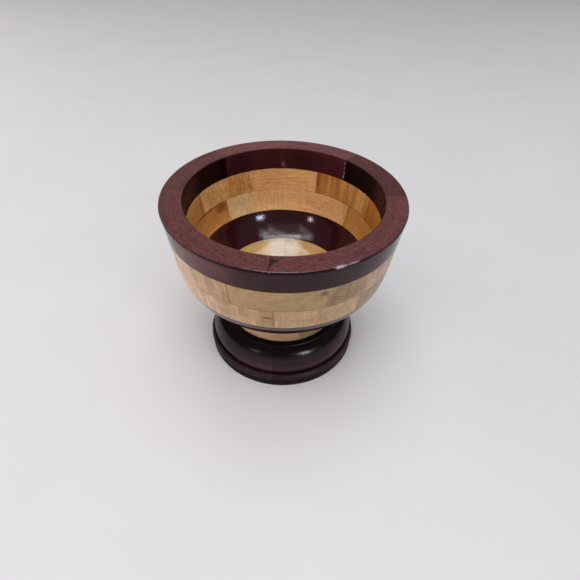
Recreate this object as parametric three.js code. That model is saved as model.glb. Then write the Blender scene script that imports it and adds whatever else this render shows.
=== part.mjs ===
// Segmented pedestal bowl, turned from seven courses of glued boards.
// Each course is a ring of mitred boards, laid like bricks: its joints stand over the middles below.
// Millimetres, +Z up. The origin is on the table, under the middle of the foot.
import * as THREE from "three";

// Boards in each course and the thickness of the glue between two boards or two courses
const BOARDS = 8;
const GLUE_LINE = 0.1;

// Height of each course, from the table up
const FOOT_HEIGHT = 37.7;
const NECK_HEIGHT = 17.8;
const FLOOR_HEIGHT = 17.7;
const DISH_HEIGHT = 21.0;
const LOWER_BAND_HEIGHT = 19.5;
const UPPER_BAND_HEIGHT = 19.8;
const RIM_HEIGHT = 18.9;

// Outside: the rim's radius, then how far the wall comes in from each glue line to the next one down
const RIM_RADIUS = 94.0;
const RIM_TAPER = 2.5;
const UPPER_BAND_TAPER = 2.6;
const LOWER_BAND_TAPER = 3.4;
const DISH_TAPER = 15.7;
const FLOOR_TAPER = 22.4;

// The belly is a full round: where it passes on its way through the dish course
const BELLY_RISE = 6.6;
const BELLY_FULLNESS = 7.8;

// The cove under the belly, the waist of the neck and the neck's flare onto the foot
const COVE_DROP = 6.6;
const COVE_REACH = 11.2;
const WAIST_RISE = 10.2;
const WAIST_HOLLOW = 1.8;
const NECK_FLARE = 2.7;

// Thickness of the wall at each glue line, from the mouth down to the floor
const RIM_WIDTH = 17.2;
const RIM_BOTTOM_WALL = 15.3;
const BAND_MIDDLE_WALL = 15.0;
const BAND_BOTTOM_WALL = 16.6;
const FLOOR_EDGE_WALL = 18.2;

// The floor is turned to a shallow dish: its depth, its steep edge, its gentle middle, and the small
// radius where the points of its boards stop short of the axis
const FLOOR_DISH = 10.4;
const DISH_SLOPE_WIDTH = 15.6;
const DISH_SLOPE_RISE = 3.1;
const DISH_EASE_WIDTH = 18.0;
const DISH_EASE_RISE = 0.4;
const POINT_RADIUS = 0.8;

// The foot, from the neck down: a flat seat, a step, an ovolo, a lip over a groove, a bead, a fine
// groove and a plain band
const SEAT_WIDTH = 4.6;
const SEAT_STEP = 0.9;
const SEAT_STEP_WIDTH = 0.5;
const OVOLO_CREST_DROP = 4.5;
const OVOLO_CREST_SETBACK = 4.0;
const SHOULDER_RISE = 6.3;
const SHOULDER_SETBACK = 2.8;
const LIP_HEIGHT = 14.7;
const LIP_TUCK = 0.4;
const GROOVE_DEPTH = 1.3;
const GROOVE_WIDTH = 1.2;
const BEAD_ROUND = 3.9;
const BEAD_PROUD = 0.6;
const FINE_GROOVE_HEIGHT = 5.4;
const FINE_GROOVE_WIDTH = 0.9;
const FINE_GROOVE_DEPTH = 0.7;
const FOOT_RADIUS = 66.7;
const FOOT_CHAMFER = 0.5;

// Inside the pedestal: the rings' bore and the recess where the lathe's chuck gripped the foot
const PEDESTAL_BORE = 20.0;
const CHUCK_LEDGE = 7.0;
const CHUCK_RECESS_DEPTH = 5.0;

// The rim's edges are softened with sandpaper
const RIM_OUTER_EASE = 1.1;
const RIM_INNER_EASE = 0.8;

// Smoothness: flats round one board, and points along a curve between two glue lines
const BOARD_STEPS = 5;
const CURVE_STEPS = 3;

// The courses stand one on another with a glue line between
const neckBottom = FOOT_HEIGHT + GLUE_LINE;
const neckTop = neckBottom + NECK_HEIGHT;
const floorBottom = neckTop + GLUE_LINE;
const floorTop = floorBottom + FLOOR_HEIGHT;
const dishBottom = floorTop + GLUE_LINE;
const dishTop = dishBottom + DISH_HEIGHT;
const lowerBandBottom = dishTop + GLUE_LINE;
const lowerBandTop = lowerBandBottom + LOWER_BAND_HEIGHT;
const upperBandBottom = lowerBandTop + GLUE_LINE;
const upperBandTop = upperBandBottom + UPPER_BAND_HEIGHT;
const rimBottom = upperBandTop + GLUE_LINE;
const rimTop = rimBottom + RIM_HEIGHT;

// Radii at the glue lines and at the turns of the outline between them
const rimBottomRadius = RIM_RADIUS - RIM_TAPER;
const bandMiddleRadius = rimBottomRadius - UPPER_BAND_TAPER;
const bandBottomRadius = bandMiddleRadius - LOWER_BAND_TAPER;
const dishBottomRadius = bandBottomRadius - DISH_TAPER;
const neckTopRadius = dishBottomRadius - FLOOR_TAPER;
const waistRadius = neckTopRadius - WAIST_HOLLOW;
const neckBottomRadius = waistRadius + NECK_FLARE;
const floorRadius = dishBottomRadius - FLOOR_EDGE_WALL;
const dishSlopeRadius = floorRadius - DISH_SLOPE_WIDTH;
const mouthRadius = RIM_RADIUS - RIM_WIDTH;
const seatRadius = neckBottomRadius + SEAT_WIDTH;
const shoulderRadius = FOOT_RADIUS - SHOULDER_SETBACK;
const lipRadius = shoulderRadius - LIP_TUCK;

// The outside of the bowl, from the foot's seat up to the rim, as one smooth curve
const outside = new THREE.SplineCurve([
  new THREE.Vector2(neckBottomRadius, neckBottom),
  new THREE.Vector2(waistRadius, neckBottom + WAIST_RISE),
  new THREE.Vector2(neckTopRadius, neckTop),
  new THREE.Vector2(dishBottomRadius - COVE_REACH, floorTop - COVE_DROP),
  new THREE.Vector2(dishBottomRadius, floorTop),
  new THREE.Vector2(dishBottomRadius + BELLY_FULLNESS, dishBottom + BELLY_RISE),
  new THREE.Vector2(bandBottomRadius, dishTop),
  new THREE.Vector2(bandMiddleRadius, lowerBandTop),
  new THREE.Vector2(rimBottomRadius, upperBandTop),
  new THREE.Vector2(RIM_RADIUS, rimTop),
]);

// The inside of the bowl, from the middle of the floor up to the mouth
const floorLow = floorTop - FLOOR_DISH;
const inside = new THREE.SplineCurve([
  new THREE.Vector2(POINT_RADIUS, floorLow),
  new THREE.Vector2(dishSlopeRadius - DISH_EASE_WIDTH, floorLow + DISH_EASE_RISE),
  new THREE.Vector2(dishSlopeRadius, floorLow + DISH_SLOPE_RISE),
  new THREE.Vector2(floorRadius, floorTop),
  new THREE.Vector2(bandBottomRadius - BAND_BOTTOM_WALL, dishTop),
  new THREE.Vector2(bandMiddleRadius - BAND_MIDDLE_WALL, lowerBandTop),
  new THREE.Vector2(rimBottomRadius - RIM_BOTTOM_WALL, upperBandTop),
  new THREE.Vector2(mouthRadius, rimTop),
]);

// The ovolo on the foot, from under the seat down to the lip
const ovolo = new THREE.SplineCurve([
  new THREE.Vector2(seatRadius + SEAT_STEP_WIDTH, FOOT_HEIGHT - SEAT_STEP),
  new THREE.Vector2(shoulderRadius - OVOLO_CREST_SETBACK, FOOT_HEIGHT - SEAT_STEP - OVOLO_CREST_DROP),
  new THREE.Vector2(shoulderRadius, LIP_HEIGHT + SHOULDER_RISE),
  new THREE.Vector2(lipRadius, LIP_HEIGHT),
]);

// The part of a curve that lies in one course, with both ends moved onto the board's own faces
function stretch(curve, bottom, top) {
  const spans = curve.points.length - 1;
  const first = curve.points.findIndex((point) => point.y > bottom) - 1;
  const last = curve.points.findIndex((point) => point.y >= top);
  const count = (last - first) * CURVE_STEPS;
  const points = [];
  for (let step = 0; step <= count; step += 1) {
    points.push(curve.getPoint((first + step / CURVE_STEPS) / spans));
  }
  points[0].y = bottom;
  points[count].y = top;
  return points;
}

// Part of a circle in the outline's plane, from one angle to another
function arc(centreRadius, centreHeight, size, from, to) {
  const points = [];
  for (let step = 0; step <= CURVE_STEPS; step += 1) {
    const turn = THREE.MathUtils.lerp(from, to, step / CURVE_STEPS);
    const radius = centreRadius + size * Math.cos(turn);
    points.push(new THREE.Vector2(radius, centreHeight + size * Math.sin(turn)));
  }
  return points;
}

// A board of the bowl's wall: up the outside and down the inside
function wallOutline(bottom, top) {
  return [...stretch(outside, bottom, top), ...stretch(inside, bottom, top).reverse()];
}

// The rim's board has two sanded edges in place of its sharp ones
function rimOutline() {
  const outer = stretch(outside, rimBottom, rimTop).slice(0, -1);
  const inner = stretch(inside, rimBottom, rimTop).slice(0, -1).reverse();
  const outerEdge = arc(RIM_RADIUS - RIM_OUTER_EASE, rimTop - RIM_OUTER_EASE, RIM_OUTER_EASE, 0, Math.PI / 2);
  const innerEdge = arc(mouthRadius + RIM_INNER_EASE, rimTop - RIM_INNER_EASE, RIM_INNER_EASE,
    Math.PI / 2, Math.PI);
  return [...outer, ...outerEdge, ...innerEdge, ...inner];
}

// A floor board: a wedge with the cove outside, a flat glued ring on top and the dish inside
function floorOutline() {
  const underside = new THREE.Vector2(POINT_RADIUS, floorBottom);
  const cove = stretch(outside, floorBottom, floorTop);
  const dish = stretch(inside, floorLow, floorTop).reverse();
  return [underside, ...cove, ...dish];
}

function neckOutline() {
  const boreTop = new THREE.Vector2(PEDESTAL_BORE, neckTop);
  const boreBottom = new THREE.Vector2(PEDESTAL_BORE, neckBottom);
  return [...stretch(outside, neckBottom, neckTop), boreTop, boreBottom];
}

// The foot's outline, from its chamfered lower edge up over bead, lip and ovolo, then down the bore
function footOutline() {
  const grooveRadius = lipRadius - GROOVE_DEPTH;
  const beadTop = LIP_HEIGHT - GROOVE_WIDTH;
  const beadMiddleRadius = FOOT_RADIUS + BEAD_PROUD - BEAD_ROUND;
  const recessRadius = PEDESTAL_BORE + CHUCK_LEDGE;
  return [
    new THREE.Vector2(FOOT_RADIUS - FOOT_CHAMFER, 0),
    new THREE.Vector2(FOOT_RADIUS, FOOT_CHAMFER),
    new THREE.Vector2(FOOT_RADIUS, FINE_GROOVE_HEIGHT - FINE_GROOVE_WIDTH / 2),
    new THREE.Vector2(FOOT_RADIUS - FINE_GROOVE_DEPTH, FINE_GROOVE_HEIGHT),
    new THREE.Vector2(FOOT_RADIUS, FINE_GROOVE_HEIGHT + FINE_GROOVE_WIDTH / 2),
    ...arc(beadMiddleRadius, beadTop - BEAD_ROUND, BEAD_ROUND, 0, Math.PI / 2),
    new THREE.Vector2(grooveRadius, beadTop),
    new THREE.Vector2(grooveRadius, LIP_HEIGHT - GROOVE_WIDTH / 2),
    ...ovolo.getPoints(CURVE_STEPS * (ovolo.points.length - 1)).reverse(),
    new THREE.Vector2(seatRadius, FOOT_HEIGHT),
    new THREE.Vector2(PEDESTAL_BORE, FOOT_HEIGHT),
    new THREE.Vector2(PEDESTAL_BORE, CHUCK_RECESS_DEPTH),
    new THREE.Vector2(recessRadius, CHUCK_RECESS_DEPTH),
    new THREE.Vector2(recessRadius, 0),
  ];
}

// One board: its outline turned about the axis between two mitre faces, each half a glue line back
// from its joint. Both mitre faces are flat.
function boardGeometry(outline, firstJoint, lastJoint) {
  const size = outline.length;
  const positions = [];
  for (let step = 0; step <= BOARD_STEPS; step += 1) {
    for (const point of outline) {
      const setBack = Math.asin(GLUE_LINE / 2 / point.x);
      const angle = THREE.MathUtils.lerp(firstJoint + setBack, lastJoint - setBack, step / BOARD_STEPS);
      positions.push(point.x * Math.cos(angle), point.x * Math.sin(angle), point.y);
    }
  }
  const faces = [];
  for (let step = 0; step < BOARD_STEPS; step += 1) {
    for (let corner = 0; corner < size; corner += 1) {
      const here = step * size + corner;
      const above = step * size + ((corner + 1) % size);
      faces.push(here, here + size, above + size);
      faces.push(here, above + size, above);
    }
  }
  const lastRing = BOARD_STEPS * size;
  for (const [a, b, c] of THREE.ShapeUtils.triangulateShape(outline, [])) {
    faces.push(a, b, c);
    faces.push(lastRing + a, lastRing + c, lastRing + b);
  }
  const geometry = new THREE.BufferGeometry();
  geometry.setAttribute("position", new THREE.Float32BufferAttribute(positions, 3));
  geometry.setIndex(faces);
  return geometry;
}

// Each course: its boards' outline, wood, how far round its first joint is turned, in degrees, and how
// far each joint strays from its even place
const PURPLEHEART = { color: "#4a2a30", roughness: 0.3 };
const MAPLE = { color: "#c08c57", roughness: 0.4 };
const courses = [
  { name: "foot", outline: footOutline(), wood: PURPLEHEART, turn: -5.5, stray: [] },
  { name: "neck", outline: neckOutline(), wood: MAPLE, turn: 19.5, stray: [] },
  { name: "floor", outline: floorOutline(), wood: MAPLE, turn: -0.5, stray: [] },
  { name: "dish_ring", outline: wallOutline(dishBottom, dishTop), wood: PURPLEHEART, turn: 22.5, stray: [] },
  { name: "lower_band", outline: wallOutline(lowerBandBottom, lowerBandTop), wood: MAPLE,
    turn: -1.0, stray: [0, -4, 3, 2, 0, 0, -1.5, -4.5] },
  { name: "upper_band", outline: wallOutline(upperBandBottom, upperBandTop), wood: MAPLE,
    turn: 22.5, stray: [-0.5, 1, 0.5, 1, 0, 0, -1.5, 0] },
  { name: "rim", outline: rimOutline(), wood: PURPLEHEART,
    turn: -1.0, stray: [1.5, 4, 0.5, -1.5, 0, -3, -3.5, 0.5] },
];

const bowl = new THREE.Group();
for (const course of courses) {
  const jointAngle = (index) => {
    const stray = course.stray[index % BOARDS] ?? 0;
    return THREE.MathUtils.degToRad(course.turn + stray + (360 / BOARDS) * index);
  };
  for (let index = 0; index < BOARDS; index += 1) {
    const geometry = boardGeometry(course.outline, jointAngle(index), jointAngle(index + 1));
    const material = new THREE.MeshStandardMaterial({ ...course.wood, metalness: 0 });
    const board = new THREE.Mesh(geometry, material);
    board.name = `${course.name}_segment_${index + 1}`;
    bowl.add(board);
  }
}

export default bowl;
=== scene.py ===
# Segmented pedestal bowl: seven courses of eight mitred boards, glued up like bricks and turned in one go.
# The wood's sizes are in millimetres until a mesh is made, and the camera's and the lights' in metres. The
# origin is on the table, under the middle of the foot.
import math

import bpy
import numpy as np
from mathutils import Matrix, Vector


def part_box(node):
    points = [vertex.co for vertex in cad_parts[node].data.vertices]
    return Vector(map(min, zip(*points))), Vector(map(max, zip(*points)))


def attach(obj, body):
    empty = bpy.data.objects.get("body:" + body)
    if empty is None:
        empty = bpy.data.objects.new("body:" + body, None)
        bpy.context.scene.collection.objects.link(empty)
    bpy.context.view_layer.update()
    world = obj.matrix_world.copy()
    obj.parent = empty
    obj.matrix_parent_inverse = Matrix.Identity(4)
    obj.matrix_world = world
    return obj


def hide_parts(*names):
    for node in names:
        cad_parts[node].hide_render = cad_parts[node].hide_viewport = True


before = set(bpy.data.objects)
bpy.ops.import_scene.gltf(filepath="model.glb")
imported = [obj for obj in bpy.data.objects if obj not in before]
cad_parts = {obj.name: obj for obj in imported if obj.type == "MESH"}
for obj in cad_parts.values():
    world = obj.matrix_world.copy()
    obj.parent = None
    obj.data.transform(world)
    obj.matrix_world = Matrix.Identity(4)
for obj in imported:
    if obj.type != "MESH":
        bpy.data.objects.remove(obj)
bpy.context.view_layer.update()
scene = bpy.context.scene
scene.view_settings.view_transform = "Standard"

# Camera: over the front edge of the bowl, looking down on it at 42 degrees and leaning a little sideways.
EYE = (0.0066, -0.3036, 0.3312)
LOOKING_DOWN = math.radians(42.47)
SIDEWAYS_LEAN = math.radians(1.76)
LENS_MM = 28.05
camera_data = bpy.data.cameras.new("camera")
camera_data.lens = LENS_MM
camera = bpy.data.objects.new("camera", camera_data)
camera.matrix_world = (
    Matrix.Translation(EYE)
    @ Matrix.Rotation(math.pi / 2 - LOOKING_DOWN, 4, "X")
    @ Matrix.Rotation(SIDEWAYS_LEAN, 4, "Z")
)
scene.collection.objects.link(camera)
scene.camera = camera

# Light: a soft panel overhead, strips further forward that fade, low pale walls all round, and two small
# lamps in front. The panel shows as cream on the floor inside, the strips as the grey sheen above it, and
# the lamps as the two bright points on the dark ring. The two tall glows are for the foot alone.
MIDDLE_OF_BOWL = Vector((0, 0, 0.08))
ROOM_COLOUR = "#f4f5f7"
ROOM_STRENGTH = 0.17


def linear(hex_colour):
    """Linear colour of an sRGB hex value: c / 12.92 up to 0.04, and ((c + 0.055) / 1.055) ** 2.4 above."""
    channels = np.array([int(hex_colour[start:start + 2], 16) for start in (1, 3, 5)]) / 255
    curve = np.where(channels <= 0.04045, channels / 12.92, ((channels + 0.055) / 1.055) ** 2.4)
    return (*curve.tolist(), 1.0)


def soft_light(name, place, width, height, radiance, colour):
    """A rectangle of even light that faces the middle of the bowl. Its power in watts is its radiance
    times pi times its area. The camera doesn't see it."""
    data = bpy.data.lights.new(name, "AREA")
    data.shape = "RECTANGLE"
    data.size = width
    data.size_y = height
    data.energy = radiance * math.pi * width * height
    data.color = linear(colour)[:3]
    light = bpy.data.objects.new(name, data)
    facing = (MIDDLE_OF_BOWL - Vector(place)).to_track_quat("-Z", "Y")
    light.matrix_world = Matrix.Translation(place) @ facing.to_matrix().to_4x4()
    light.visible_camera = False
    scene.collection.objects.link(light)
    return light


soft_light("overhead_panel", (0.0, 0.12, 1.85), 1.0, 1.35, 2.9, "#f4f7ff")
strips = [
    soft_light("main_strip", (0.1, -0.95, 1.85), 1.75, 0.28, 5.4, "#fbf6ff"),
    soft_light("wider_strip", (-0.1, -1.0, 1.84), 2.75, 0.26, 2.1, "#fbf6ff"),
    soft_light("strip_end", (1.0, -1.04, 1.85), 0.5, 0.14, 2.6, "#fbf6ff"),
    soft_light("second_strip", (-0.25, -1.14, 1.85), 2.2, 0.12, 3.8, "#fbf6ff"),
    soft_light("second_end", (-1.1, -1.26, 1.85), 0.7, 0.16, 2.2, "#fbf6ff"),
    soft_light("faint_strip", (0.0, -1.52, 1.85), 2.0, 0.24, 0.4, "#fdf8ff"),
]
walls = [
    soft_light("front_wall", (0.0, -2.4, 0.7), 3.4, 0.9, 0.8, "#fffdfb"),
    soft_light("left_wall", (-1.7, 0.0, 0.42), 2.4, 0.8, 4.0, "#fffaf6"),
    soft_light("right_wall", (1.7, 0.2, 0.42), 2.4, 0.8, 1.5, "#f6fbff"),
]
soft_light("back_wall", (0.0, 2.6, 0.84), 6.0, 1.6, 0.45, "#fffdfa")
soft_light("left_lamp", (-1.0, -1.15, 1.12), 0.12, 0.10, 42, "#ffe6e4")
soft_light("right_lamp", (0.93, -1.16, 1.12), 0.26, 0.12, 30, "#dfeaff")
glows = [
    soft_light("left_glow", (-1.0, -1.25, 0.62), 0.35, 0.85, 4, "#fff4f4"),
    soft_light("right_glow", (0.93, -1.25, 0.62), 0.35, 0.85, 30, "#fff8f8"),
]

world = bpy.data.worlds.new("room")
world.use_nodes = True
world.node_tree.nodes["Background"].inputs["Color"].default_value = linear(ROOM_COLOUR)
world.node_tree.nodes["Background"].inputs["Strength"].default_value = ROOM_STRENGTH
scene.world = world

# Table: a broad flat board, painted matt white, that the bowl stands on. It isn't part of the bowl, and
# lies a hair below its foot.
TABLE_HALF = 4.0
TABLE_GAP = 0.00005
TABLE_ROUGHNESS = 0.6
CLOUDS_PER_METRE = 9.0
table_mesh = bpy.data.meshes.new("table")
table_corners = np.array([[-1, -1], [1, -1], [1, 1], [-1, 1]]) * TABLE_HALF
table_points = np.column_stack([table_corners, np.full(len(table_corners), -TABLE_GAP)])
table_mesh.from_pydata(table_points.tolist(), [], [[0, 1, 2, 3]])
table = bpy.data.objects.new("table", table_mesh)
scene.collection.objects.link(table)


def add_node(tree, kind, sockets, **settings):
    """Adds a node with its own settings, and fills or links its input sockets by name or number."""
    node = tree.nodes.new(kind)
    for setting, value in settings.items():
        setattr(node, setting, value)
    for socket, value in sockets.items():
        if isinstance(value, bpy.types.NodeSocket):
            tree.links.new(value, node.inputs[socket])
        else:
            node.inputs[socket].default_value = value
    return node


def new_material(name):
    """A material with nothing but its shader: the material, its node tree and the shader."""
    material = bpy.data.materials.new(name)
    material.use_nodes = True
    return material, material.node_tree, material.node_tree.nodes["Principled BSDF"]


# White paint, rolled on and matt. The eye gets a faint cloudiness, about a hand wide.
paint, tree, shader = new_material("matt_white_paint")
position = add_node(tree, "ShaderNodeTexCoord", {}).outputs["Object"]
cloud = add_node(
    tree, "ShaderNodeTexNoise", {"Vector": position, "Scale": CLOUDS_PER_METRE, "Detail": 3.0}
)
paint_colour = add_node(
    tree, "ShaderNodeMix",
    {0: cloud.outputs[0], 6: linear("#d7d6d3"), 7: linear("#dedddb")},
    data_type="RGBA",
)
tree.links.new(paint_colour.outputs[2], shader.inputs["Base Color"])
shader.inputs["Roughness"].default_value = TABLE_ROUGHNESS
table_mesh.materials.append(paint)

# Foot: eight thick purpleheart boards, mitred and glued into a ring, then turned to an ovolo over a bead
# and a plain band. The lathe's chuck gripped the recess underneath. It is lacquered, with a full gloss on
# the ovolo and a thinner coat on the seat, the bead and the band.
BOARDS = 8
GLUE_LINE = 0.1
FOOT_TURN = -5.5
SEAT_RADIUS = 52.9
OVOLO_TURNS = [(53.4, 36.8), (59.9, 32.3), (63.9, 21.0), (63.5, 14.7)]
OVOLO_TOP = 36.5
GROOVE_RADIUS = 62.2
GROOVE_MIDDLE = 14.1
BEAD_CENTRE = (63.4, 9.6)
BEAD_ROUND = 3.9
BAND_RADIUS = 66.7
FINE_GROOVE_MIDDLE = 5.4
FINE_GROOVE_HALF = 0.45
FINE_GROOVE_DEPTH = 0.7
FOOT_CHAMFER = 0.5
BORE_RADIUS = 20.0
CHUCK_RADIUS = 27.0
CHUCK_DEPTH = 5.0
CURVE_STEPS = 20
ROUND_POINTS = 8
WALL_SPACING = 1.2
HIDDEN_SPACING = 3.0


def course_levels(course):
    """The heights of a course's lower and upper faces, from the box of its first CAD board."""
    return [corner[2] * 1000 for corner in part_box(f"{course}_segment_1")]


def smooth_curve(turns):
    """A smooth line through turning points: on each span both coordinates are the cubic of the share t
    that starts and ends with slopes of half the way from the point before to the point after."""
    points = np.array(turns, float)
    around = np.vstack([points[:1], points, points[-1:]])
    slopes = (around[2:] - around[:-2]) / 2
    start, end, leave, arrive = points[:-1], points[1:], slopes[:-1], slopes[1:]
    t = np.linspace(0, 1, CURVE_STEPS, endpoint=False)[:, None, None]
    cubic = (
        start + leave * t
        + (3 * (end - start) - 2 * leave - arrive) * t ** 2
        + (2 * (start - end) + leave + arrive) * t ** 3
    )
    return np.vstack([cubic.swapaxes(0, 1).reshape(-1, 2), points[-1:]])


def quarter_round(centre, size, first_degree):
    """A quarter circle: the centre plus size times (cos, sin) of an angle that grows by 90 degrees."""
    angle = np.radians(np.linspace(first_degree, first_degree + 90, ROUND_POINTS))
    return np.array(centre) + size * np.column_stack([np.cos(angle), np.sin(angle)])


def straight(start, end, spacing):
    """Evenly spaced points on the line from start to end, without the two ends."""
    length = math.dist(start, end)
    share = np.linspace(0, 1, max(2, round(length / spacing) + 1))[1:-1, None]
    return np.array(start) * (1 - share) + np.array(end) * share


foot_low, foot_high = course_levels("foot")
band_foot = (BAND_RADIUS, foot_low + FOOT_CHAMFER)
band_top = (BAND_RADIUS, FINE_GROOVE_MIDDLE - FINE_GROOVE_HALF)
foot_outline = np.vstack([
    (BAND_RADIUS - FOOT_CHAMFER, foot_low),
    band_foot,
    straight(band_foot, band_top, WALL_SPACING),
    band_top,
    (BAND_RADIUS - FINE_GROOVE_DEPTH, FINE_GROOVE_MIDDLE),
    (BAND_RADIUS, FINE_GROOVE_MIDDLE + FINE_GROOVE_HALF),
    quarter_round(BEAD_CENTRE, BEAD_ROUND, 0),
    (GROOVE_RADIUS, BEAD_CENTRE[1] + BEAD_ROUND),
    (GROOVE_RADIUS, GROOVE_MIDDLE),
    smooth_curve(OVOLO_TURNS)[::-1],
    (SEAT_RADIUS, foot_high),
    straight((SEAT_RADIUS, foot_high), (BORE_RADIUS, foot_high), HIDDEN_SPACING),
    (BORE_RADIUS, foot_high),
    (BORE_RADIUS, CHUCK_DEPTH),
    (CHUCK_RADIUS, CHUCK_DEPTH),
    (CHUCK_RADIUS, foot_low),
])


def course_joints(turn, stray=(0,) * BOARDS):
    """Angles of a course's joints in degrees: its turn, plus 45 each, plus how far each joint strays."""
    even = turn + np.arange(BOARDS + 1) * 360 / BOARDS
    return even + np.append(stray, stray[0])


def write_attribute(mesh, name, kind, field, values):
    """Writes one value a point into the mesh, as an attribute that a material can read."""
    layer = mesh.attributes.new(name, kind, "POINT")
    layer.data.foreach_set(field, np.ascontiguousarray(values, np.float32).ravel())


# Each board was sawn from its own place in a tree. From the tree's middle that is so many mm along the
# trunk, in and up, to either side. A face that isn't glued has its glue line out of reach.
NEAREST_IN_TREE = [0, 25, 30]
FURTHEST_IN_TREE = [900, 90, 140]
grain_dice = np.random.default_rng(11)
OUT_OF_REACH = 9.0
SHARP_EDGE = math.radians(32)
BOARD_STEPS = 110


def turned_board(
    course, number, outline, joints, glued_faces, colour_of, materials,
    kinds=0, figure=(0, 0, 0), worn=None, steps=BOARD_STEPS,
):
    """One turned board in place of its CAD node. Every point (radius, height) of the outline goes round
    the axis from one flat mitre face to the other, each half a glue line back from its joint: the angle is
    (first + set back) * (1 - share) + (last - set back) * share, and the sine of the set back is half a
    glue line over the radius. Each point carries where it lies in the plank, in mm: along it, in from its
    face and up it, from the tree's middle. It also carries how far the two joints and the nearer glued
    face are, its tint, and the board's figure. Kinds says which of the materials each side of the outline
    has, and worn moves the points that wear has taken."""
    first, last = np.radians(joints[number - 1:number + 1])
    radius, height = outline.T
    set_back = np.arcsin(np.minimum(GLUE_LINE / 2 / radius, 1))
    share = np.linspace(0, 1, steps + 1)[:, None]
    angle = (first + set_back) * (1 - share) + (last - set_back) * share
    levels = np.broadcast_to(height, angle.shape)
    radius = np.broadcast_to(radius, angle.shape)
    if worn is not None:
        radius, levels = worn(np.degrees(angle), radius, levels)
    points = np.stack([radius * np.cos(angle), radius * np.sin(angle), levels], axis=-1)

    size = len(outline)
    here = np.arange(steps)[:, None] * size + np.arange(size)
    above = np.arange(steps)[:, None] * size + np.roll(np.arange(size), -1)
    sides = np.stack([here, here + size, above + size, above], axis=-1).reshape(-1, 4)
    first_end = np.arange(size)
    last_end = steps * size + first_end[::-1]
    mesh = bpy.data.meshes.new(f"{course}_board_{number}")
    faces = [*sides.tolist(), first_end.tolist(), last_end.tolist()]
    mesh.from_pydata(points.reshape(-1, 3) / 1000, [], faces)
    mesh.shade_smooth()
    mesh.set_sharp_from_angle(angle=SHARP_EDGE)

    middle = (first + last) / 2
    tree_middle = grain_dice.uniform(NEAREST_IN_TREE, FURTHEST_IN_TREE) * grain_dice.choice([-1, 1], 3)
    plank = np.stack([radius * np.sin(angle - middle), radius * np.cos(angle - middle), levels], axis=-1)
    joint_gaps = np.stack([radius * np.sin(angle - first), radius * np.sin(last - angle)], axis=-1)
    face_gaps = np.minimum(levels - glued_faces[0], glued_faces[1] - levels)
    tint = colour_of(number, np.degrees(angle), radius, levels)
    write_attribute(mesh, "plank", "FLOAT_VECTOR", "vector", plank + tree_middle)
    write_attribute(mesh, "glue_gap", "FLOAT_VECTOR", "vector", np.dstack([joint_gaps, face_gaps]))
    write_attribute(mesh, "tint", "FLOAT_COLOR", "color", np.dstack([tint, np.ones_like(angle)]))
    write_attribute(mesh, "figure", "FLOAT_VECTOR", "vector", np.broadcast_to(figure, (*angle.shape, 3)))

    for material in materials:
        mesh.materials.append(material)
    side_kinds = np.tile(np.broadcast_to(kinds, size), steps)
    mesh.polygons.foreach_set("material_index", np.append(side_kinds, [0, 0]).astype(np.int32))
    board = bpy.data.objects.new(mesh.name, mesh)
    scene.collection.objects.link(board)
    return board


def rgb(hex_colour):
    """Linear red, green and blue of an sRGB hex value, as an array."""
    return np.array(linear(hex_colour)[:3])


def marked(ground, marks, tones, angle, radius, across):
    """A ground colour under soft-edged oval marks. A mark covers, of each point, its strength times
    exp(-((along / half_length)^2 + (beyond / half_width)^2)^2). Along is measured round the bowl in mm,
    and beyond is how far the point is from the mark's own place across the board."""
    tint = np.array(np.broadcast_to(ground, (*angle.shape, 3)))
    for degrees, place, half_length, half_width, tone, strength in marks:
        along = radius * np.radians((angle - degrees + 180) % 360 - 180)
        off = (along / half_length) ** 2 + ((across - place) / half_width) ** 2
        cover = strength * np.exp(-(off ** 2))
        tint += cover[..., None] * (rgb(tones[tone]) - tint)
    return tint


# A row of marks gives degrees round the bowl, the place across the board, half the length round the bowl,
# half the width across the board, the tone and its strength. The foot's marks are all painted shade: black
# in its grooves, over the bead at the front, high on the ovolo and round the seat under the belly, and on
# the band where it meets the table.
FOOT_TONES = {
    "black": "#0c0607",
    "sloe": "#2d1d23",
    "plum": "#322026",
    "damson": "#38272d",
    "heather": "#433238",
}
FOOT_BOARDS = ["plum", "sloe", "plum", "sloe", "heather", "damson", "sloe", "plum"]
ALL_ROUND = 1000
FOOT_PAINTED_SHADE = [
    (-90, 1.0, ALL_ROUND, 3.6, "black", 0.85),
    (-90, FINE_GROOVE_MIDDLE, ALL_ROUND, 1.2, "black", 1.0),
    (-75, BEAD_CENTRE[1], 60, 4.0, "black", 0.3),
    (-90, 14.0, ALL_ROUND, 1.1, "black", 0.9),
    (-90, 26.0, ALL_ROUND, 4.0, "black", 0.4),
    (-90, 34.5, ALL_ROUND, 6.0, "black", 0.95),
]


def foot_colour(number, angle, radius, height):
    """Each board's dark plum, with painted shade in the grooves, over the bead, round the seat and at the
    table.
    """
    ground = rgb(FOOT_TONES[FOOT_BOARDS[number - 1]])
    return marked(ground, FOOT_PAINTED_SHADE, FOOT_TONES, angle, radius, height)


GLUE_CORE = 0.12
GLUE_EDGE = 0.42
GLUE_PATCH = 9.0
THICK_GLUE_UP_TO = 0.35
THIN_GLUE_FROM = 0.6
NOISE_ROUGHNESS = 0.6


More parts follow.
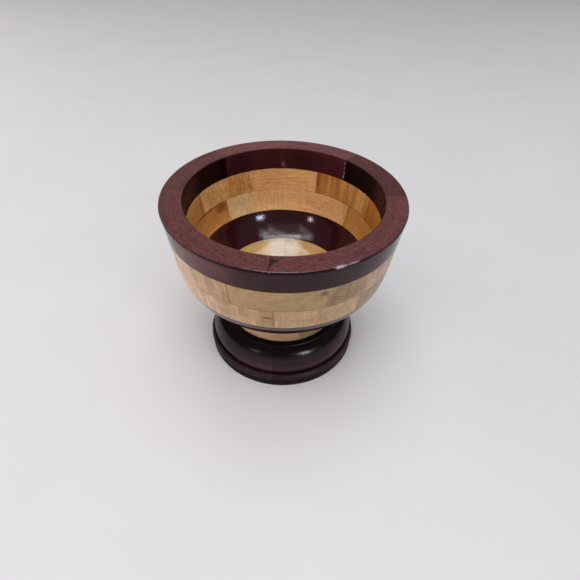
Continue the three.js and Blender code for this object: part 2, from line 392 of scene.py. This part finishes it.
def glue_shade(tree, plank, darkest):
    """1 on open wood, falling to darkest from the glue's edge to its core, on either side of a glue line.
    The line is fainter wherever a slow noise says that the glue has been squeezed thin. A real line is too
    fine to show, so this one is drawn about a third of a millimetre wide on each side."""
    gaps = add_node(tree, "ShaderNodeAttribute", {}, attribute_name="glue_gap").outputs["Vector"]
    gap = add_node(tree, "ShaderNodeSeparateXYZ", {0: gaps}).outputs
    joint = add_node(tree, "ShaderNodeMath", {0: gap[0], 1: gap[1]}, operation="MINIMUM").outputs[0]
    nearest = add_node(tree, "ShaderNodeMath", {0: joint, 1: gap[2]}, operation="MINIMUM").outputs[0]
    patches = add_node(
        tree, "ShaderNodeTexNoise",
        {"Vector": plank, "Scale": 1 / GLUE_PATCH, "Detail": 1.0, "Roughness": NOISE_ROUGHNESS},
    )
    line = add_node(
        tree, "ShaderNodeMapRange",
        {0: patches.outputs[0], 1: THICK_GLUE_UP_TO, 2: THIN_GLUE_FROM, 3: darkest, 4: (1 + darkest) / 2},
        interpolation_type="SMOOTHSTEP",
    )
    shade = add_node(
        tree, "ShaderNodeMapRange",
        {0: nearest, 1: GLUE_CORE, 2: GLUE_EDGE, 3: line.outputs[0], 4: 1.0},
        interpolation_type="SMOOTHSTEP",
    )
    return shade.outputs[0]


PURPLE_GLUE = 0.5
PORE_RELIEF = 0.2
CLOUDS_PER_MM = 0.45
PEEL_PER_MM = 0.6
GLOSS_SPREAD = 0.2


def purpleheart(name, specular, roughness, peel, pore_darkness, speck_lightness):
    """Lacquered purpleheart: a dark, slightly ribboned wood with fine dark pores and redder specks along
    the grain. The eye gets streaks of plum and near-black under a clear coat with a faint orange peel,
    peel mm deep. Real pores are a tenth of a millimetre across, and are drawn about five times as wide,
    so that they show."""
    material, tree, shader = new_material(name)
    plank = add_node(tree, "ShaderNodeAttribute", {}, attribute_name="plank").outputs["Vector"]
    tint = add_node(tree, "ShaderNodeAttribute", {}, attribute_name="tint").outputs["Color"]
    # Each layer of the grain is noise stretched with the board. Its row gives the size of its cloudlets in
    # mm along the board and across it, its detail, the two levels of noise between which the wood changes,
    # and the wood's lightness at the first and at the second.
    grain = {
        "ribbons": (70, 6.0, 2, 0.3, 0.7, 0.93, 1.07),
        "streaks": (12, 0.9, 3, 0.32, 0.68, 0.84, 1.16),
        "pores": (2.6, 0.55, 2, 0.36, 0.56, pore_darkness, 1.0),
        "specks": (1.2, 0.5, 1, 0.56, 0.7, 1.0, speck_lightness),
    }
    light = glue_shade(tree, plank, PURPLE_GLUE)
    layers = {}
    for layer, (along, across, detail, low, high, at_low, at_high) in grain.items():
        stretched = add_node(
            tree, "ShaderNodeVectorMath",
            {0: plank, 1: (1 / along, 1 / across, 1 / across)},
            operation="MULTIPLY",
        )
        noise = add_node(
            tree, "ShaderNodeTexNoise",
            {"Vector": stretched.outputs[0], "Scale": 1.0, "Detail": detail, "Roughness": NOISE_ROUGHNESS},
        )
        lightness = add_node(
            tree, "ShaderNodeMapRange",
            {0: noise.outputs[0], 1: low, 2: high, 3: at_low, 4: at_high},
            interpolation_type="SMOOTHSTEP",
        )
        layers[layer] = lightness.outputs[0]
        product = add_node(tree, "ShaderNodeMath", {0: light, 1: layers[layer]}, operation="MULTIPLY")
        light = product.outputs[0]
    colour = add_node(tree, "ShaderNodeVectorMath", {0: tint, 1: light}, operation="MULTIPLY")
    tree.links.new(colour.outputs[0], shader.inputs["Base Color"])

    cloud = add_node(
        tree, "ShaderNodeTexNoise", {"Vector": plank, "Scale": CLOUDS_PER_MM, "Detail": 2.0}
    )
    duller, glossier = roughness * (1 + GLOSS_SPREAD), roughness * (1 - GLOSS_SPREAD)
    gloss = add_node(
        tree, "ShaderNodeMapRange",
        {0: cloud.outputs[0], 1: 0.35, 2: 0.65, 3: duller, 4: glossier},
        interpolation_type="SMOOTHSTEP",
    )
    tree.links.new(gloss.outputs[0], shader.inputs["Roughness"])
    orange_peel = add_node(
        tree, "ShaderNodeTexNoise", {"Vector": plank, "Scale": PEEL_PER_MM, "Detail": 1.0}
    )
    relief = add_node(
        tree, "ShaderNodeMath",
        {0: layers["pores"], 1: PORE_RELIEF, 2: orange_peel.outputs[0]},
        operation="MULTIPLY_ADD",
    )
    bump = add_node(
        tree, "ShaderNodeBump", {"Height": relief.outputs[0], "Distance": peel / 1000, "Strength": 1.0}
    )
    tree.links.new(bump.outputs[0], shader.inputs["Normal"])
    shader.inputs["Specular IOR Level"].default_value = specular
    return material


# The same lacquer in two coats: a full one on the ovolo, where the eye gets two clear soft highlights, and
# a thin one on the seat, the bead and the band, which look like dark satin.
foot_finishes = [
    purpleheart(
        "gloss_lacquered_purpleheart",
        specular=0.12, roughness=0.22, peel=0.02, pore_darkness=0.7, speck_lightness=1.15,
    ),
    purpleheart(
        "thin_lacquered_purpleheart",
        specular=0.05, roughness=0.42, peel=0.02, pore_darkness=0.7, speck_lightness=1.15,
    ),
]
side_levels = (foot_outline[:, 1] + np.roll(foot_outline[:, 1], -1)) / 2
thin_coat = (side_levels < GROOVE_MIDDLE) | (side_levels > OVOLO_TOP)

# The strips and walls leave the foot out, because its gloss would show them as bright bars all round where
# the real foot is dark. The two tall glows light the foot alone, and show as the two ovals on its ovolo.
dimmed_boards = bpy.data.collections.new("dimmed_boards")
glowing_boards = bpy.data.collections.new("glowing_boards")
for number in range(1, BOARDS + 1):
    board = turned_board(
        "foot", number, foot_outline, course_joints(FOOT_TURN), (foot_low - OUT_OF_REACH, foot_high),
        foot_colour, foot_finishes, kinds=thin_coat,
    )
    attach(board, "root")
    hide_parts(f"foot_segment_{number}")
    dimmed_boards.objects.link(board)
    glowing_boards.objects.link(board)
for dimmed in dimmed_boards.collection_objects:
    dimmed.light_linking.link_state = "EXCLUDE"
for light in strips + walls:
    light.light_linking.receiver_collection = dimmed_boards
for light in glows:
    light.light_linking.receiver_collection = glowing_boards

# Neck: a thin ring of maple boards glued on the foot's seat and turned to a waist. Most of it is hidden
# from above by the belly. Its outside is the lower end of the one smooth line that runs up to the rim.
NECK_TURN = 19.5
OUTSIDE_TURNS = [
    (48.3, 37.8), (45.6, 48.0), (47.4, 55.6), (58.6, 66.8), (69.8, 73.4), (77.6, 80.1),
    (85.5, 94.5), (88.9, 114.1), (91.5, 134.0), (94.0, 153.0),
]
outside_line = smooth_curve(OUTSIDE_TURNS)
CLOSEST_TO_END = 0.05


def wall_part(line, bottom, top):
    """The part of a rising line between two heights, with both ends on the board's own faces."""
    between = line[(line[:, 1] > bottom + CLOSEST_TO_END) & (line[:, 1] < top - CLOSEST_TO_END)]
    radii = np.interp([bottom, top], line[:, 1], line[:, 0])
    return np.vstack([(radii[0], bottom), between, (radii[1], top)])


neck_low, neck_high = course_levels("neck")
neck_outline = np.vstack([
    wall_part(outside_line, neck_low, neck_high),
    (BORE_RADIUS, neck_high),
    (BORE_RADIUS, neck_low),
])
MAPLE_TONES = {
    "dove": "#ab8a68",
    "flax": "#a3855c",
    "bone": "#b3936c",
    "ash": "#9b7b5a",
    "clay": "#8d714e",
    "shell": "#c7aa92",
    "mist": "#b99f86",
    "cream": "#e2cfa4",
    "painted_glare": "#dccfab",
    "sand": "#d9af76",
    "peach": "#e8b479",
    "honey": "#e6b87f",
    "apricot": "#e5b073",
    "wheat": "#dbaa6b",
    "yellow": "#d0a35e",
    "straw": "#c9a663",
    "brass": "#c39d60",
    "ginger": "#cd934f",
    "amber": "#cf914c",
    "copper": "#c0894b",
    "toffee": "#b27331",
    "russet": "#94552c",
    "umber": "#6e4322",
}
NECK_BOARDS = ["dove", "flax", "dove", "clay", "dove", "dove", "clay", "flax"]


def neck_colour(number, angle, radius, height):
    """Each board's own pale maple, the same all over it."""
    return np.broadcast_to(rgb(MAPLE_TONES[NECK_BOARDS[number - 1]]), (*angle.shape, 3))


RING_WIDTH = 3.4
RING_WANDER = 11.0
SHADED_WOOD = "#ffe7c4"
FIBRE_DEPTH = 0.04
FIBRE_STRENGTH = 0.4
CLOUD_SPREAD = 0.07
FIGURE_ROUGHNESS = 0.5
REDDEST_LIGHT = 0.55
PLAIN_LIGHT = 1.05


def maple(name, specular, roughness, glue_darkness, silk):
    """Lacquered hard maple: pale and even, with thin brown growth lines, a silky fibre along the board
    and, on some boards, short upright ripples or broad upright bands. The lacquer has yellowed it, and
    where it darkens it also reddens. Silk is how far the fibre lightens and darkens the wood. The growth
    lines run round the tree's middle: the wood darkens with the fraction of the distance to the middle,
    let wander by a noise, over the width of a ring, so that each ring ends in a line. Real fibre is too
    fine to show, and is drawn just under a millimetre wide."""
    material, tree, shader = new_material(name)
    plank = add_node(tree, "ShaderNodeAttribute", {}, attribute_name="plank").outputs["Vector"]
    tint = add_node(tree, "ShaderNodeAttribute", {}, attribute_name="tint").outputs["Color"]
    figure = add_node(tree, "ShaderNodeAttribute", {}, attribute_name="figure").outputs["Vector"]
    line_share, ripple_share, band_share = add_node(tree, "ShaderNodeSeparateXYZ", {0: figure}).outputs
    # Each pattern is noise stretched with the board. Its row gives the size of its cloudlets in mm along
    # the board and across it, its detail and its roughness. Ripples and bands stand upright.
    grain = {
        "fibre": (14, 0.8, 3, NOISE_ROUGHNESS),
        "cloud": (24, 6.0, 2, NOISE_ROUGHNESS),
        "wander": (26, 9.0, 2, NOISE_ROUGHNESS),
        "ripple": (1.0, 8.0, 2, FIGURE_ROUGHNESS),
        "band": (5.0, 40.0, 2, FIGURE_ROUGHNESS),
    }
    patterns = {}
    for pattern, (along, across, detail, noise_roughness) in grain.items():
        stretched = add_node(
            tree, "ShaderNodeVectorMath",
            {0: plank, 1: (1 / along, 1 / across, 1 / across)},
            operation="MULTIPLY",
        )
        noise = add_node(
            tree, "ShaderNodeTexNoise",
            {"Vector": stretched.outputs[0], "Scale": 1.0, "Detail": detail, "Roughness": noise_roughness},
        )
        patterns[pattern] = noise.outputs[0]
    cross = add_node(tree, "ShaderNodeVectorMath", {0: plank, 1: (0, 1, 1)}, operation="MULTIPLY")
    from_middle = add_node(tree, "ShaderNodeVectorMath", {0: cross.outputs[0]}, operation="LENGTH")
    wandered = add_node(
        tree, "ShaderNodeMath",
        {0: patterns["wander"], 1: RING_WANDER, 2: from_middle.outputs["Value"]},
        operation="MULTIPLY_ADD",
    )
    rings = add_node(
        tree, "ShaderNodeMath", {0: wandered.outputs[0], 1: 1 / RING_WIDTH}, operation="MULTIPLY"
    )
    ring = add_node(tree, "ShaderNodeMath", {0: rings.outputs[0]}, operation="FRACT").outputs[0]

    # Each figure: its pattern, the two levels of it between which the wood changes, how much lighter the
    # wood is at the first and at the second, and the board's share of this figure.
    light = 1.0
    figures = [
        (ring, 0.35, 1.0, 0.02, -0.11, line_share),
        (patterns["ripple"], 0.34, 0.66, -0.1, 0.08, ripple_share),
        (patterns["band"], 0.36, 0.64, -0.2, 0.1, band_share),
    ]
    for pattern, low, high, at_low, at_high, figure_share in figures:
        lighter = add_node(
            tree, "ShaderNodeMapRange",
            {0: pattern, 1: low, 2: high, 3: at_low, 4: at_high},
            interpolation_type="SMOOTHSTEP",
        )
        total = add_node(
            tree, "ShaderNodeMath",
            {0: lighter.outputs[0], 1: figure_share, 2: light},
            operation="MULTIPLY_ADD",
        )
        light = total.outputs[0]
    for pattern, spread in [(patterns["fibre"], silk), (patterns["cloud"], CLOUD_SPREAD)]:
        layer = add_node(
            tree, "ShaderNodeMapRange",
            {0: pattern, 1: 0.3, 2: 0.7, 3: 1 - spread, 4: 1 + spread},
            interpolation_type="SMOOTHSTEP",
        )
        product = add_node(tree, "ShaderNodeMath", {0: light, 1: layer.outputs[0]}, operation="MULTIPLY")
        light = product.outputs[0]
    glue = glue_shade(tree, plank, glue_darkness)
    light = add_node(tree, "ShaderNodeMath", {0: light, 1: glue}, operation="MULTIPLY").outputs[0]
    darkened = add_node(
        tree, "ShaderNodeMapRange",
        {0: light, 1: REDDEST_LIGHT, 2: PLAIN_LIGHT, 3: 1.0, 4: 0.0},
        interpolation_type="SMOOTHSTEP",
    )
    reddened = add_node(
        tree, "ShaderNodeMix",
        {0: darkened.outputs[0], 6: linear("#ffffff"), 7: linear(SHADED_WOOD)},
        data_type="RGBA",
    )
    warm = add_node(tree, "ShaderNodeVectorMath", {0: tint, 1: reddened.outputs[2]}, operation="MULTIPLY")
    colour = add_node(tree, "ShaderNodeVectorMath", {0: warm.outputs[0], 1: light}, operation="MULTIPLY")
    tree.links.new(colour.outputs[0], shader.inputs["Base Color"])

    duller, glossier = roughness * (1 + GLOSS_SPREAD), roughness * (1 - GLOSS_SPREAD)
    gloss = add_node(
        tree, "ShaderNodeMapRange",
        {0: patterns["cloud"], 1: 0.3, 2: 0.7, 3: duller, 4: glossier},
        interpolation_type="SMOOTHSTEP",
    )
    tree.links.new(gloss.outputs[0], shader.inputs["Roughness"])
    bump = add_node(
        tree, "ShaderNodeBump",
        {"Height": patterns["fibre"], "Distance": FIBRE_DEPTH / 1000, "Strength": FIBRE_STRENGTH},
    )
    tree.links.new(bump.outputs[0], shader.inputs["Normal"])
    shader.inputs["Specular IOR Level"].default_value = specular
    return material


# Maple with an even coat of lacquer: the eye gets a soft shine over a silky fibre.
lacquered_maple = maple("lacquered_maple", specular=0.4, roughness=0.28, glue_darkness=0.8, silk=0.13)
for number in range(1, BOARDS + 1):
    board = turned_board(
        "neck", number, neck_outline, course_joints(NECK_TURN), (neck_low, neck_high),
        neck_colour, [lacquered_maple],
    )
    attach(board, "root")
    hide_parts(f"neck_segment_{number}")

# Floor: eight maple wedges whose points meet in the middle, glued on the neck. The lathe has dished it
# inside, and its underside carries the cove below the belly.
FLOOR_TURN = -0.5
INSIDE_TURNS = [
    (0.2, 63.0), (18.0, 63.4), (36.0, 66.1), (51.6, 73.4), (68.9, 94.5), (73.9, 114.1), (76.2, 134.0),
    (76.8, 153.0),
]
inside_line = smooth_curve(INSIDE_TURNS)
floor_low, floor_high = course_levels("floor")
floor_outline = np.vstack([
    (inside_line[0, 0], floor_low),
    wall_part(outside_line, floor_low, floor_high),
    wall_part(inside_line, inside_line[0, 1], floor_high)[::-1],
])
FLOOR_BOARDS = ["yellow", "brass", "straw", "yellow", "sand", "yellow", "sand", "yellow"]
# The two pale patches at the back are a painted glare of the panel above; the ginger mark is an orange
# streak in the wood.
FLOOR_STREAK_AND_GLARE = {
    2: [(84, 40, 11, 22, "painted_glare", 0.7), (66.5, 44, 2.8, 12, "ginger", 0.6)],
    3: [(95, 40, 13, 22, "painted_glare", 0.8)],
}
DISH_EDGE = 52.5
BELOW_DISH = 62.0


def floor_colour(number, angle, radius, height):
    """Inside, under thick lacquer, yellow maple with a painted glare where two boards meet at the back, and
    one orange streak. Outside, the paler maple of the neck. A mark's place is a distance from the middle."""
    ground = rgb(MAPLE_TONES[FLOOR_BOARDS[number - 1]])
    inner = marked(ground, FLOOR_STREAK_AND_GLARE.get(number, ()), MAPLE_TONES, angle, radius, radius)
    outside = (height < BELOW_DISH) | (radius > DISH_EDGE)
    return np.where(outside[..., None], rgb(MAPLE_TONES[NECK_BOARDS[number - 1]]), inner)


# Lacquer pools in the dish of the floor: the eye gets a glassy, smooth yellow that mirrors the panel above.
thick_lacquered_maple = maple(
    "thick_lacquered_maple", specular=0.95, roughness=0.16, glue_darkness=0.9, silk=0.04
)
for number in range(1, BOARDS + 1):
    board = turned_board(
        "floor", number, floor_outline, course_joints(FLOOR_TURN), (floor_low, floor_high),
        floor_colour, [thick_lacquered_maple],
    )
    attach(board, "root")
    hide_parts(f"floor_segment_{number}")

# Dish ring: purpleheart again, glued on the floor and cut wide, because both the belly outside and the
# round of the bowl inside are turned from it.
DISH_TURN = 22.5
DISH_TONE = "#331214"


def wall_outline(bottom, top):
    """The outline of a course of the bowl's wall: up the outside line and down the inside line."""
    return np.vstack([wall_part(outside_line, bottom, top), wall_part(inside_line, bottom, top)[::-1]])


def dish_colour(number, angle, radius, height):
    """The dish ring's black plum, one tone all round."""
    return np.broadcast_to(rgb(DISH_TONE), (*angle.shape, 3))


# The thick lacquer of the floor goes on up the ring: a near mirror that shows the lamps and the strips.
thick_lacquered_purpleheart = purpleheart(
    "thick_lacquered_purpleheart",
    specular=0.42, roughness=0.1, peel=0.03, pore_darkness=0.7, speck_lightness=1.15,
)
dish_low, dish_high = course_levels("dish_ring")
dish_outline = wall_outline(dish_low, dish_high)
for number in range(1, BOARDS + 1):
    board = turned_board(
        "dish_ring", number, dish_outline, course_joints(DISH_TURN), (dish_low, dish_high),
        dish_colour, [thick_lacquered_purpleheart],
    )
    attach(board, "root")
    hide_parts(f"dish_ring_segment_{number}")

# Lower band: a ring of maple boards glued on the dish ring, no two quite the same length or colour. The
# lacquer inside is the yellower.
LOWER_TURN = -1.0
LOWER_STRAY = (0, -4, 3, 2, 0, 0, -1.5, -4.5)
LOWER_OUTSIDE = ["flax", "bone", "dove", "flax", "bone", "bone", "bone", "clay"]
LOWER_INSIDE = ["ginger", "peach", "honey", "amber", "amber", "wheat", "apricot", "ginger"]
LOWER_MARKS = {
    (1, "inside"): [(39.0, 104, 1.2, 20, "umber", 0.35), (25, 113.9, 24, 0.5, "umber", 0.65)],
    (2, "inside"): [
        (61.5, 103, 1.2, 1.6, "russet", 0.5), (63.5, 100.5, 0.8, 1.0, "russet", 0.45),
        (60.0, 107, 0.7, 1.2, "russet", 0.45), (88, 104, 2.2, 20, "sand", 0.4),
        (43.5, 113.9, 4, 0.5, "umber", 0.4),
    ],
    (3, "inside"): [(125, 104, 12, 20, "cream", 0.35), (103, 104, 15, 20, "ginger", 0.2)],
    (4, "inside"): [
        (141.8, 110.4, 7.0, 4.6, "russet", 0.95), (146, 107, 6, 1.0, "umber", 0.3),
        (158, 113.8, 28, 0.9, "umber", 1.0),
    ],
    # The pale shell patches on the left outside of boards 5 and 6 are partly the maple's own tone and
    # partly painted sheen from the left.
    (5, "outside"): [(-146, 104, 14, 20, "shell", 0.4)],
    (6, "outside"): [
        (-125, 104, 16, 20, "shell", 0.5), (-96.0, 106.7, 3.4, 1.1, "umber", 1.0),
        (-94.0, 106.0, 1.2, 0.8, "umber", 0.7), (-93.0, 104, 0.5, 16, "umber", 0.4),
    ],
}
MIDDLE_OF_WALL = 80.0
# Each figure is the board's share of growth lines, of upright ripples and of broad upright bands.
FIGURES = {
    "plain": (0.35, 0.15, 0.3),
    "wavy": (1.0, 0.1, 0.1),
    "curly": (0.15, 1.2, 0.2),
    "streaked": (0.1, 2.2, 0.3),
    "banded": (0.3, 0.4, 1.0),
}
LOWER_FIGURES = ["wavy", "plain", "curly", "plain", "wavy", "banded", "curly", "banded"]


def band_colour(outside_tones, inside_tones, marks):
    """A colour function for a band: each board's tone outside, and the one inside where the radius is
    less than the middle of the wall. Marks are listed under the board's number and side."""

    def colour_of(number, angle, radius, height):
        inner, outer = (
            marked(
                rgb(MAPLE_TONES[tones[number - 1]]), marks.get((number, side), ()), MAPLE_TONES,
                angle, radius, height,
            )
            for side, tones in [("inside", inside_tones), ("outside", outside_tones)]
        )
        return np.where((radius < MIDDLE_OF_WALL)[..., None], inner, outer)
    return colour_of


lower_low, lower_high = course_levels("lower_band")
lower_outline = wall_outline(lower_low, lower_high)
lower_joints = course_joints(LOWER_TURN, LOWER_STRAY)
lower_colour = band_colour(LOWER_OUTSIDE, LOWER_INSIDE, LOWER_MARKS)
for number in range(1, BOARDS + 1):
    board = turned_board(
        "lower_band", number, lower_outline, lower_joints, (lower_low, lower_high),
        lower_colour, [lacquered_maple], figure=FIGURES[LOWER_FIGURES[number - 1]],
    )
    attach(board, "root")
    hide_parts(f"lower_band_segment_{number}")

# Upper band: a second course of the same maple, glued on the first with its joints over the middles of the
# boards below.
UPPER_TURN = 22.5
UPPER_STRAY = (-0.5, 1, 0.5, 1, 0, 0, -1.5, 0)
UPPER_OUTSIDE = ["dove", "flax", "bone", "flax", "dove", "flax", "dove", "ash"]
UPPER_INSIDE = ["copper", "apricot", "wheat", "copper", "toffee", "wheat", "apricot", "toffee"]
UPPER_FIGURES = ["banded", "wavy", "streaked", "plain", "banded", "wavy", "banded", "banded"]
UPPER_MARKS = {
    (1, "inside"): [
        (31, 124, 11, 20, "yellow", 0.5), (64.3, 124, 5.2, 20, "toffee", 0.95),
        (54.5, 124, 4.0, 20, "toffee", 0.5), (52.5, 126, 0.9, 8, "umber", 0.4),
        (60.5, 126, 0.9, 8, "umber", 0.35), (67.2, 124, 1.2, 20, "umber", 0.35),
        (34, 114.4, 14, 0.5, "umber", 0.65),
    ],
    (2, "inside"): [(101, 124, 14, 20, "copper", 0.3)],
    (3, "inside"): [
        (125, 124, 11, 20, "copper", 0.8), (116.5, 124, 0.8, 16, "umber", 0.35),
        (121, 124, 0.7, 16, "umber", 0.35), (147, 124, 13, 20, "yellow", 0.45),
        (146, 114.4, 18, 0.5, "umber", 0.5),
    ],
    (4, "inside"): [(160.5, 124, 2.2, 16, "umber", 0.35)],
    (8, "inside"): [(14, 124, 9, 20, "umber", 0.12)],
    # The pale mist patch on the left outside of board 5 is partly the maple's own tone and partly painted
    # sheen.
    (5, "outside"): [
        (-146, 124, 18, 20, "mist", 0.7), (-113.0, 124, 0.55, 16, "umber", 0.65),
        (-136, 114.5, 36, 0.5, "umber", 0.5),
    ],
    (6, "outside"): [
        (-71.2, 130, 3.4, 2.6, "clay", 0.9), (-71.2, 130, 2.3, 1.9, "umber", 1.0),
        (-86, 114.5, 14, 0.5, "umber", 0.5), (-105, 114.5, 12, 0.5, "umber", 0.3),
    ],
    (7, "outside"): [(-62, 124, 16, 20, "clay", 0.95)],
}
upper_low, upper_high = course_levels("upper_band")
upper_outline = wall_outline(upper_low, upper_high)
upper_joints = course_joints(UPPER_TURN, UPPER_STRAY)
upper_colour = band_colour(UPPER_OUTSIDE, UPPER_INSIDE, UPPER_MARKS)
for number in range(1, BOARDS + 1):
    board = turned_board(
        "upper_band", number, upper_outline, upper_joints, (upper_low, upper_high),
        upper_colour, [lacquered_maple], figure=FIGURES[UPPER_FIGURES[number - 1]],
    )
    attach(board, "root")
    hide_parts(f"upper_band_segment_{number}")

# Rim: a last ring of purpleheart boards glued on the upper band, with both top edges eased by sandpaper.
# Its flat top is rubbed dull and pale by use, its outer wall is polished, and its outer edge has a chip
# and two nicks that show bare wood.
RIM_TURN = -1.0
RIM_STRAY = (1.5, 4, 0.5, -1.5, 0, -3, -3.5, 0.5)
RIM_RADIUS = 94.0
MOUTH_RADIUS = 76.8
MIDDLE_OF_RIM = 85.0
OUTER_EASE = 1.1
INNER_EASE = 0.8
BELOW_EASE = 0.2
TOP_SPACING = 0.8
rim_low, rim_high = course_levels("rim")
outer_round = quarter_round((RIM_RADIUS - OUTER_EASE, rim_high - OUTER_EASE), OUTER_EASE, 0)
inner_round = quarter_round((MOUTH_RADIUS + INNER_EASE, rim_high - INNER_EASE), INNER_EASE, 90)
rim_outline = np.vstack([
    wall_part(outside_line, rim_low, rim_high - OUTER_EASE - BELOW_EASE)[:-1],
    outer_round,
    straight(outer_round[-1], inner_round[0], TOP_SPACING),
    inner_round,
    wall_part(inside_line, rim_low, rim_high - INNER_EASE - BELOW_EASE)[:-1][::-1],
])
# The outer edge's chips, as places round the rim in degrees and depths there in mm.
CHIPS = [
    (-96.6, 0), (-96.2, 0.95), (-95.8, 0), (-94.4, 0), (-94.0, 1.0), (-93.6, 0), (-69.4, 0.3),
    (-67.4, 1.45), (-66.0, 1.5), (-64.2, 1.05), (-63.3, 0.95), (-62.8, 0.55), (-62.2, 0.95),
    (-58.5, 0.9), (-56.2, 0),
]
RAGGED_SHARE = 0.12
RAGGED_WAVE = 9


def chip_depth(degrees):
    """How deep the outer edge is chipped at an angle: straight lines through the named depths, made ragged
    by a wave of the angle."""
    around = (degrees + 180) % 360 - 180
    return np.interp(around, *zip(*CHIPS)) * (1 + RAGGED_SHARE * np.sin(around * RAGGED_WAVE))


def chipped(degrees, radius, height):
    """The outer edge where it is chipped: points outside the cone radius + height = constant move straight
    back to it. The cone is as far in from the sharp edge as the chip is deep at that angle."""
    depth = chip_depth(degrees)
    beyond = np.maximum(radius + height - (RIM_RADIUS + rim_high - depth), 0) / 2
    return radius - beyond, height - beyond


RIM_TONES = {
    "black": "#0c0607",
    "pitch": "#120403",
    "oxblood": "#240c0c",
    "garnet": "#3f1a1d",
    "bark": "#301a1b",
    "mulberry": "#351819",
    "umber": "#512e2c",
    "dusk": "#5d3936",
    "russet": "#613b38",
    "rose": "#673e3c",
    "blush": "#6f433f",
    "orchid": "#6c3a44",
    "silver": "#8d7c7b",
    "graphite": "#2b2223",
    "bare": "#ab9ca3",
}
RIM_TOPS = ["umber", "rose", "blush", "dusk", "russet", "russet", "russet", "russet"]
RIM_OUTSIDES = ["bark", "bark", "bark", "bark", "mulberry", "bark", "bark", "bark"]
RIM_INSIDES = ["pitch", "garnet", "garnet", "pitch", "oxblood", "oxblood", "oxblood", "pitch"]
RIM_MARKS = {
    1: [(8, 66, 14, 13, "garnet", 0.7)],
    2: [
        (48.6, 73.9, 0.4, 1.2, "bare", 0.6), (48.8, 69.2, 0.4, 1.0, "bare", 0.5),
        (48.5, 65.0, 0.5, 1.1, "bare", 0.7), (48.8, 61.2, 0.8, 1.0, "bare", 0.9),
        (79, 66, 11, 13, "oxblood", 0.35),
    ],
    3: [
        (122, 66, 13, 13, "oxblood", 0.5), (92.2, 61.9, 2.2, 2.6, "silver", 0.22),
        (92.6, 62.0, 1.0, 1.3, "silver", 0.4), (91.0, 59.6, 1.6, 1.2, "silver", 0.2),
    ],
    4: [
        (170, 66, 14, 13, "garnet", 0.7), (146, 66, 10, 13, "oxblood", 0.5),
        (177.6, 70.4, 1.6, 3.2, "black", 1.0), (176.4, 65.8, 2.2, 1.6, "umber", 1.0),
    ],
    # Board 6's paler patch on the outer wall towards the left is a painted sheen.
    6: [(-128, 101, 33, 11, "russet", 0.7)],
    7: [
        (-94.2, 86.5, 0.6, 8, "black", 0.8), (-92.4, 82.2, 3.3, 1.3, "graphite", 0.95),
        (-93.1, 84.2, 1.9, 1.1, "graphite", 0.9), (-93.6, 86.0, 1.0, 1.2, "graphite", 0.9),
        (-91.6, 90.6, 4.5, 2.2, "orchid", 0.6),
    ],
}
# A black line along the outer ease is a painted dark reflection of the glossy round.
PAINTED_DARK_REFLECTION_ON_EDGE = [(-90, 95.0, ALL_ROUND, 1.0, "black", 0.9)]
WORN_EDGE = [(-89, 93.45, 19, 0.26, "bare", 0.6), (-72, 93.4, 14, 0.22, "orchid", 0.8)]
EDGE_FADE = 0.5
CHIP_FADE = 0.4
BARE_PER_MM = 1.1
BARE_LOSS = 0.5


def rim_colour(number, angle, radius, height):
    """The rim's three faces, a dull paler top and two dark walls, under their marks. Marks are placed
    across the rim's section laid out flat: at a point's radius on the top, further out by its depth below
    the top on the outer wall, and further in by it on the inner wall. A chip shows bare wood by 1.1 times
    its depth less 0.5, as far from the edge as it is deep."""
    outside = radius > MIDDLE_OF_RIM
    across = radius + (rim_high - height) * np.where(outside, 1, -1)
    inner, top, outer = (
        rgb(RIM_TONES[tones[number - 1]]) for tones in (RIM_INSIDES, RIM_TOPS, RIM_OUTSIDES)
    )
    from_mouth = np.clip((across - MOUTH_RADIUS) / EDGE_FADE, 0, 1)
    from_edge = np.clip((RIM_RADIUS - across) / EDGE_FADE, 0, 1)
    ground = np.where(outside[..., None], outer, inner)
    ground = ground + (from_mouth * from_edge)[..., None] * (top - ground)
    marks = [*RIM_MARKS.get(number, ()), *PAINTED_DARK_REFLECTION_ON_EDGE, *WORN_EDGE]
    tint = marked(ground, marks, RIM_TONES, angle, radius, across)
    depth = chip_depth(angle)
    in_chip = np.clip((depth - np.abs(across - RIM_RADIUS)) / CHIP_FADE, 0, 1)
    bare = in_chip * np.clip(depth * BARE_PER_MM - BARE_LOSS, 0, 1)
    return tint + bare[..., None] * (rgb(RIM_TONES["bare"]) - tint)


# The rim's top is rubbed to a satin in which the pores and specks show most. Its outer wall is polished,
# so the eye gets a sheen towards the sides. Its inner wall kept the thin, dull first coat.
rim_finishes = [
    purpleheart(
        "satin_purpleheart",
        specular=0.08, roughness=0.38, peel=0.03, pore_darkness=0.55, speck_lightness=1.8,
    ),
    purpleheart(
        "polished_purpleheart",
        specular=0.16, roughness=0.17, peel=0.02, pore_darkness=0.7, speck_lightness=1.3,
    ),
    purpleheart(
        "dull_purpleheart",
        specular=0.06, roughness=0.45, peel=0.02, pore_darkness=0.7, speck_lightness=1.15,
    ),
]
POLISH_BELOW_TOP = 2.2
side_radii, side_heights = ((rim_outline + np.roll(rim_outline, -1, axis=0)) / 2).T
on_outer_wall = (side_radii > MIDDLE_OF_RIM) & (side_heights < rim_high - POLISH_BELOW_TOP)
on_inner_wall = side_radii < MOUTH_RADIUS + INNER_EASE / 2
RIM_STEPS = 200
rim_joints = course_joints(RIM_TURN, RIM_STRAY)
for number in range(1, BOARDS + 1):
    board = turned_board(
        "rim", number, rim_outline, rim_joints, (rim_low, rim_high + OUT_OF_REACH),
        rim_colour, rim_finishes, kinds=on_outer_wall + 2 * on_inner_wall, worn=chipped, steps=RIM_STEPS,
    )
    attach(board, "root")
    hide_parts(f"rim_segment_{number}")
